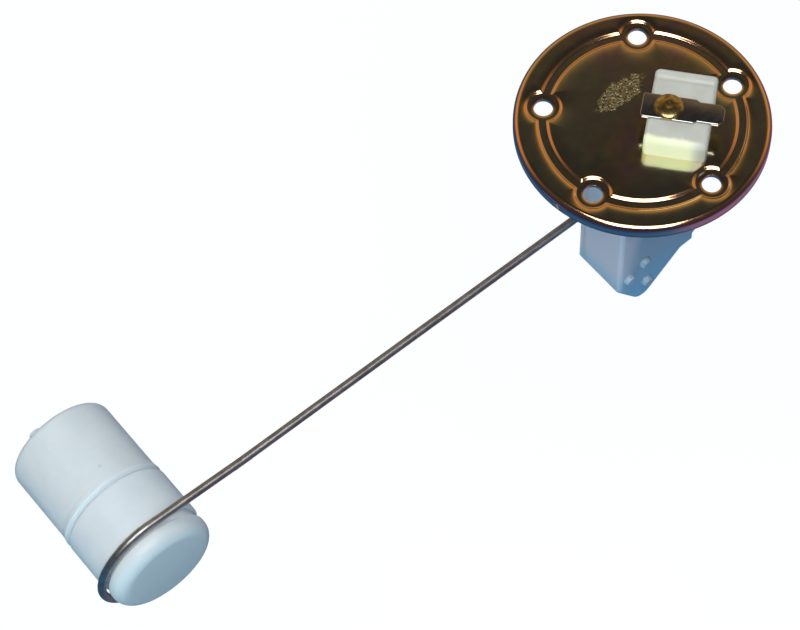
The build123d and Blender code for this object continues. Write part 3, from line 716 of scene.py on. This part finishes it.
def flange():
    """Pressed disc: rings with a grooved screw circle, dished holes and a turned-down rim."""
    low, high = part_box("flange_plate")
    radius, top = high.x, high.z
    screws = [mounts[name] for name in sorted(mounts) if name.startswith("screw_hole")]
    sheet = screws[0]["dims"]["length_mm"] * MM
    hole_radius = screws[0]["dims"]["r_mm"] * MM
    centres = np.array([screw["pos_m"][:2] for screw in screws])
    circle = hypot(*centres[0])
    depth = top - sheet / 2 - screws[0]["pos_m"][2]

    def fall(x, y):
        """How far the sheet lies below its flat level."""
        from_holes = np.min([np.hypot(x - at[0], y - at[1]) for at in centres], axis=0)
        groove = np.abs(np.hypot(x, y) - circle) - GROOVE_HALF
        outside = np.minimum(groove, from_holes - DIMPLE_RADIUS)
        rise = np.clip((outside + WALL_HALF) / (2 * WALL_HALF), 0, 1)
        rise = rise * rise * (3 - 2 * rise)
        reach = np.where(np.hypot(x, y) > circle, OUTER_ROLL_REACH, ROLL_REACH)
        roll = ROLL_DEPTH * np.exp(-np.maximum(outside - WALL_HALF, 0) / reach)
        lip = LIP_DEPTH * np.exp(-np.maximum(from_holes - hole_radius, 0) / LIP_REACH)
        return (depth - ROLL_DEPTH) * (1 - rise) + roll + lip

    # (radius, level, pressed) rings, from the top's middle round the rim to the underside's middle
    bands = [radius * BAND_STEP * k for k in range(BAND_COUNT)]
    fine = np.arange(PRESSED_FROM, PRESSED_TO, PRESSED_STEP)
    rings = [(reach, top, True) for reach in [*bands, *fine]]
    for angle in sweep(0, pi / 2, RIM_STEPS):
        reach = radius - RIM_FILLET + RIM_FILLET * sin(angle)
        rings.append((reach, top - RIM_FILLET * (1 - cos(angle)), False))
    inside = radius - sheet
    rings += [(radius, low.z + RIM_EDGE, False), (radius - RIM_EDGE, low.z, False)]
    rings += [(inside + RIM_EDGE, low.z, False), (inside, low.z + RIM_EDGE, False)]
    inner_fillet = RIM_FILLET - sheet
    for angle in sweep(pi / 2, 0, INNER_RIM_STEPS):
        reach = inside - inner_fillet + inner_fillet * sin(angle)
        rings.append((reach, top - sheet - inner_fillet * (1 - cos(angle)), False))
    rings += [(reach, top - sheet, True) for reach in [*fine[::-2], *bands[::-1]]]

    turns = np.linspace(0, 2 * pi, FLANGE_TURNS, endpoint=False)
    blocks = []
    for reach, level, pressed in rings:
        x, y = reach * np.cos(turns), reach * np.sin(turns)
        z = level - fall(x, y) if pressed else np.full_like(x, level)
        blocks.append(np.stack([x, y, z], axis=1))
    faces = ring_faces(len(rings), FLANGE_TURNS)
    plate = mesh_object("flange", np.concatenate(blocks), faces)

    drill = bmesh.new()
    for x, y in centres:
        bmesh.ops.create_cone(
            drill,
            cap_ends=True,
            segments=DRILL_SEGMENTS,
            radius1=hole_radius,
            radius2=hole_radius,
            depth=3 * (top - low.z),
            matrix=Matrix.Translation((x, y, top)),
        )
    mesh = bpy.data.meshes.new("drill")
    drill.to_mesh(mesh)
    drill.free()
    cutter = bpy.data.objects.new("drill", mesh)
    bpy.context.scene.collection.objects.link(cutter)
    carve(plate, cutter)
    plate.data.set_sharp_from_angle(angle=radians(FLANGE_CREASE))
    settle(plate, "sender", "passivated_zinc", zinc, "flange_plate")


# ---------------------------------------------------------------- terminal pad, blade and rivet
PAD_FAR, PAD_NEAR = -12.4 * MM, 11.2 * MM  # along pad_x
PAD_BACK, PAD_FRONT = 1.5 * MM, 18.7 * MM  # along the blade
PAD_SINK = 2 * MM  # drawn this far into the plate, then flattened on to it
PAD_FAR_FILLET, PAD_NEAR_FILLET, PAD_EDGE = 1.1 * MM, 1.9 * MM, 1.5 * MM
SLOT_AT, SLOT_HALF, SLOT_DEPTH = -9.2 * MM, 1.1 * MM, 0.4 * MM
SLOT_STEPS = 12

BLADE_MIDDLE = 0.4 * MM  # along pad_x
SHANK_HALF, TAB_HALF = 3.8 * MM, 3.15 * MM
BLADE_START, BLADE_STEP, BLADE_TIP = -0.5 * MM, 14.3 * MM, 21.8 * MM  # along the blade
STEP_HALF = 0.5 * MM
TIP_CHAMFER = 1.3 * MM
START_ROUND, STEP_ROUND, TIP_ROUND = 0.7 * MM, 0.3 * MM, 0.4 * MM
BLADE_CORNER_STEPS = 4
BURR_EDGE, ROLLED_EDGE = 0.08 * MM, 0.28 * MM

# (radius, depth below the head's top) of the rivet's dimple, from its middle out
RIVET_DIMPLE = ((0, 0.22 * MM), (0.5 * MM, 0.18 * MM), (1.1 * MM, 0.04 * MM))
DOME_FROM = radians(20)
DOME_STEPS = 14
DOME_FOOT, DOME_RISE, DOME_POWER = 0.1, 0.92, 0.7  # its height is a share of the head's rise
HEAD_UNDERCUT = 0.05 * MM
RIVET_SHANK = 1.5 * MM
CLINCH_HEIGHT, CLINCH_RADIUS, CLINCH_END = 1.2 * MM, 2.5 * MM, 1.9 * MM
RIVET_SEGMENTS = 96
RIVET_CREASE = 60


def on_pad(x, y, level):
    """Point at x along the pad, y along the blade and a height, from the flange's centre."""
    return pad_x * x + blade * y + WORLD_UP * level


def pad():
    """Moulded bar with rounded ends and a narrow slot near the far end."""
    foot = plate_top - PAD_SINK
    corners = [(PAD_FAR, foot, 0), (PAD_NEAR, foot, 0), (PAD_NEAR, pad_top, PAD_NEAR_FILLET)]
    for x in sweep(SLOT_AT + SLOT_HALF, SLOT_AT - SLOT_HALF, SLOT_STEPS):
        dip = SLOT_DEPTH * (1 + cos(pi * (x - SLOT_AT) / SLOT_HALF)) / 2
        corners.append((x, pad_top - dip, 0))
    corners.append((PAD_FAR, pad_top, PAD_FAR_FILLET))
    bar = slab(
        "terminal_pad_moulding",
        rounded(corners),
        lambda x, level, y: on_pad(x, y, level),
        PAD_BACK, PAD_FRONT, PAD_EDGE, PAD_EDGE,
    )
    for vertex in bar.data.vertices:
        vertex.co.z = max(vertex.co.z, plate_top)
    settle(bar, "sender", "white_acetal", pad_acetal, "terminal_pad")


def terminal():
    """Stamped blade: wide shank, stepped down to the tab, with the rolled edge of a punched sheet."""
    low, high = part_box("spade_terminal")
    side = [  # from the start to the tip, across the blade's middle line
        (SHANK_HALF, BLADE_START, START_ROUND),
        (SHANK_HALF, BLADE_STEP - STEP_HALF, STEP_ROUND),
        (TAB_HALF, BLADE_STEP + STEP_HALF, STEP_ROUND),
        (TAB_HALF, BLADE_TIP - TIP_CHAMFER, TIP_ROUND),
        (TAB_HALF - TIP_CHAMFER, BLADE_TIP, TIP_ROUND),
    ]
    corners = [(BLADE_MIDDLE - SHANK_HALF, BLADE_START, START_ROUND)]
    corners += [(BLADE_MIDDLE + across, *rest) for across, *rest in side]
    corners += [(BLADE_MIDDLE - across, *rest) for across, *rest in side[:0:-1]]
    outline = rounded(corners, BLADE_CORNER_STEPS)
    strip = slab("terminal_blade", outline, on_pad, low.z, high.z, BURR_EDGE, ROLLED_EDGE)
    settle(strip, "sender", "tinned_steel", terminal_steel, "spade_terminal")


def rivet():
    """Domed rivet head with a dimple pressed in its middle, its shank and its clinched end."""
    low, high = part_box("terminal_rivet")
    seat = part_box("spade_terminal")[1].z
    centre = (low + high) / 2
    head = (high.x - low.x) / 2
    rise = high.z - seat
    clinch = low.z + CLINCH_HEIGHT
    outline = [(reach, high.z - drop) for reach, drop in RIVET_DIMPLE]
    for angle in sweep(DOME_FROM, pi / 2, DOME_STEPS):
        dome = DOME_FOOT * rise + rise * DOME_RISE * max(cos(angle), 0) ** DOME_POWER
        outline.append((head * sin(angle), seat + dome))
    outline += [(head - HEAD_UNDERCUT, seat), (RIVET_SHANK, seat), (RIVET_SHANK, clinch)]
    outline += [(CLINCH_RADIUS, clinch), (CLINCH_END, low.z), (0, low.z)]
    vertices = []
    for turn in range(RIVET_SEGMENTS):
        angle = 2 * pi * turn / RIVET_SEGMENTS
        for reach, level in outline:
            vertices.append((centre.x + reach * cos(angle), centre.y + reach * sin(angle), level))
    faces = ring_faces(RIVET_SEGMENTS, len(outline), meet=True, closed=False)
    button = mesh_object("rivet_dome", vertices, faces, RIVET_CREASE)
    settle(button, "sender", "brass", rivet_brass, "terminal_rivet")


# ---------------------------------------------------------------- arm and float
LOOP_Y = -11.5 * MM  # the plane of the long arm, the loop and the float's groove
WIRE_RADIUS = 1.2 * MM
WIRE_EDGE = 0.2 * MM
WIRE_SIDES = 32
SHAFT_BEND, SHAFT_BEND_STEPS = 3.0 * MM, 8
ARM_RISE = radians(1.43)
KNEE_X = 134 * MM
KNEE_BEND, KNEE_STEPS = 120 * MM, 12
LOOP_CENTRE = Vector((166.3 * MM, -63.6 * MM))  # x, z
LOOP_RADIUS, LOOP_SWEEP, LOOP_STEPS = 17.8 * MM, radians(232), 60

PARTING_ANGLE = radians(23)
PARTING_HEIGHT, PARTING_HALF = 0.09 * MM, 0.45 * MM
FLOAT_WALL = 1.6 * MM
FAR_BEAD = 0.4 * MM  # the far shell's bead stands out by this
FAR_END_ROUND = 2.5 * MM
BEAD_START, BEAD_FULL, BEAD_ROUND = 3.0 * MM, 1.0 * MM, 1.4 * MM  # before the seam
LIP_START = 1.0 * MM  # after the seam
NOTCH_DEPTH = 1.05 * MM
LIP_ROUND, NOTCH_ROUND = 0.4 * MM, 0.1 * MM
GROOVE_WIDTH_HALF, GROOVE_FLOOR, GROOVE_ROUND = 1.6 * MM, 15.3 * MM, 0.3 * MM
CAP_RADIUS, CAP_DROP, CAP_ROUND = 16.3 * MM, 0.25 * MM, 4.0 * MM
CAP_FLAT, CAP_FLAT_ROUND = 4.0 * MM, 3.5 * MM
SPIGOT_WALL, SPIGOT_GAP = 0.7 * MM, 0.02 * MM
INNER_ROUND = 1.0 * MM
FAR_CORNER_STEPS, NEAR_CORNER_STEPS = 8, 10
FAR_SEGMENTS, NEAR_SEGMENTS, PLUG_SEGMENTS = 384, 256, 64
PLUG_ROUND, PLUG_STEM = 0.7 * MM, 0.7  # the stem's radius is a share of the head's


def arm():
    """One bent wire: pivot shaft, long arm and the open loop that holds the float."""
    shaft_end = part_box("float_arm")[1].y
    corner = Vector((KNEE_X, pivot.z + (KNEE_X - pivot.x) * tan(ARM_RISE)))
    to_loop = LOOP_CENTRE - corner
    slope = atan2(to_loop.y, to_loop.x) + asin(LOOP_RADIUS / to_loop.length)

    points = [Vector((pivot.x, shaft_end, pivot.z))]
    for angle in sweep(0, pi / 2, SHAFT_BEND_STEPS):
        along = SHAFT_BEND * (1 - cos(angle))
        y = LOOP_Y + SHAFT_BEND * (1 - sin(angle))
        points.append(
            Vector((pivot.x + along * cos(ARM_RISE), y, pivot.z + along * sin(ARM_RISE)))
        )
    reach = KNEE_BEND * tan((ARM_RISE - slope) / 2)
    start = corner - reach * Vector((cos(ARM_RISE), sin(ARM_RISE)))
    middle = start + KNEE_BEND * Vector((sin(ARM_RISE), -cos(ARM_RISE)))
    arcs = [(middle, KNEE_BEND, heading) for heading in sweep(ARM_RISE, slope, KNEE_STEPS)]
    headings = sweep(slope, slope - LOOP_SWEEP, LOOP_STEPS)
    arcs += [(LOOP_CENTRE, LOOP_RADIUS, heading) for heading in headings]
    for centre, radius, heading in arcs:
        x, z = centre.x - radius * sin(heading), centre.y + radius * cos(heading)
        points.append(Vector((x, LOOP_Y, z)))

    last = len(points) - 1
    tangents = [
        (points[min(k + 1, last)] - points[max(k - 1, 0)]).normalized() for k in range(last + 1)
    ]
    rings = [(point, tangent, WIRE_RADIUS) for point, tangent in zip(points, tangents)]
    for end, inwards in ((0, WIRE_EDGE), (last, -WIRE_EDGE)):
        rings[end] = (points[end] + tangents[end] * inwards, tangents[end], WIRE_RADIUS)
    rings.insert(0, (points[0], tangents[0], WIRE_RADIUS - WIRE_EDGE))
    rings.append((points[last], tangents[last], WIRE_RADIUS - WIRE_EDGE))

    side = tangents[0].orthogonal().normalized()
    vertices = []
    for point, tangent, size in rings:
        side = (side - tangent * side.dot(tangent)).normalized()
        other = tangent.cross(side)
        for turn in range(WIRE_SIDES):
            angle = 2 * pi * turn / WIRE_SIDES
            vertices.append(point + size * (side * cos(angle) + other * sin(angle)))
    wire = mesh_object("arm_wire", vertices, capped(len(rings), WIRE_SIDES))
    settle(wire, "arm", "steel_wire", wire_steel, "float_arm")


def parting_line(radius, angle):
    """A thin mould line along the shell."""
    away = abs((angle - PARTING_ANGLE + pi) % (2 * pi) - pi) * radius
    return radius + PARTING_HEIGHT * max(0, 1 - away / PARTING_HALF)


def floats():
    """Two hollow shells that meet at a notched seam, and the plug in the far end."""
    far_low, far_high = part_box("float_far_shell")
    near_low, near_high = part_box("float_near_shell")
    far_end, seam, near_end = far_low.y, far_high.y, near_high.y
    far_radius = (far_high.x - far_low.x) / 2 - FAR_BEAD
    near_radius = (near_high.x - near_low.x) / 2
    notch = near_radius - NOTCH_DEPTH
    bore = far_radius - FLOAT_WALL
    far = rounded(
        [
            (far_end, 0, 0),
            (far_end, far_radius, FAR_END_ROUND),
            (seam - BEAD_START, far_radius, BEAD_ROUND),
            (seam - BEAD_FULL, far_radius + FAR_BEAD, LIP_ROUND),
            (seam, notch, NOTCH_ROUND),
            (seam, bore, 0),
            (far_end + FLOAT_WALL, bore, INNER_ROUND),
            (far_end + FLOAT_WALL, 0, 0),
        ],
        FAR_CORNER_STEPS,
    )
    shell = revolve("float_far_half", far, float_centre, FAR_SEGMENTS, parting_line)
    settle(shell, "float", "float_plastic", float_skin, "float_far_shell")

    near = rounded(
        [
            (near_low.y, bore - SPIGOT_WALL, 0),
            (near_low.y, bore - SPIGOT_GAP, 0),
            (seam, bore - SPIGOT_GAP, 0),
            (seam, notch, NOTCH_ROUND),
            (seam + LIP_START, near_radius, LIP_ROUND),
            (LOOP_Y - GROOVE_WIDTH_HALF, near_radius, GROOVE_ROUND),
            (LOOP_Y - GROOVE_WIDTH_HALF, GROOVE_FLOOR, GROOVE_ROUND),
            (LOOP_Y + GROOVE_WIDTH_HALF, GROOVE_FLOOR, GROOVE_ROUND),
            (LOOP_Y + GROOVE_WIDTH_HALF, CAP_RADIUS, GROOVE_ROUND),
            (near_end - CAP_DROP, CAP_RADIUS, CAP_ROUND),
            (near_end, CAP_FLAT, CAP_FLAT_ROUND),
            (near_end, 0, 0),
            (near_end - FLOAT_WALL, 0, 0),
            (near_end - FLOAT_WALL, bore - SPIGOT_WALL, INNER_ROUND),
        ],
        NEAR_CORNER_STEPS,
    )
    shell = revolve("float_near_half", near, float_centre, NEAR_SEGMENTS)
    settle(shell, "float", "float_plastic", float_skin, "float_near_shell")

    low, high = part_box("float_plug")
    head = (high.x - low.x) / 2
    nub = rounded(
        [
            (low.y, 0, 0),
            (low.y, head, PLUG_ROUND),
            (far_end, head, 0),
            (far_end, PLUG_STEM * head, 0),
            (high.y, PLUG_STEM * head, 0),
            (high.y, 0, 0),
        ]
    )
    cap = revolve("float_plug_cap", nub, (low + high) / 2, PLUG_SEGMENTS)
    settle(cap, "float", "float_plastic", float_skin, "float_plug")


# ---------------------------------------------------------------- the scene
CARRIED_OVER = {
    "rivet_washer": strip_brass,
    "case_gasket": rubber,
    "case_body": acetal,
    "case_cover": acetal,
    "pivot_bush": strip_brass,
    "bearing_plate": shaded_stake_acetal,
    "resistance_card": board,
    "resistance_winding": winding_wire,
    "feed_clip": strip_brass,
    "end_clip": strip_brass,
    "feed_strip": strip_brass,
    "ground_strip": strip_brass,
    "thrust_washer": wire_steel,
    "rotor_hub": nylon,
    "wiper_arm": strip_brass,
    "wiper_contact": strip_brass,
}

pale_floor()
room()
for box in SOFTBOXES:
    softbox(*box)
camera()
bpy.context.scene.view_settings.view_transform = "Standard"

flange()
pad()
terminal()
rivet()
arm()
floats()
for node_name, material in CARRIED_OVER.items():
    paint(frame["nodes"][node_name], material)
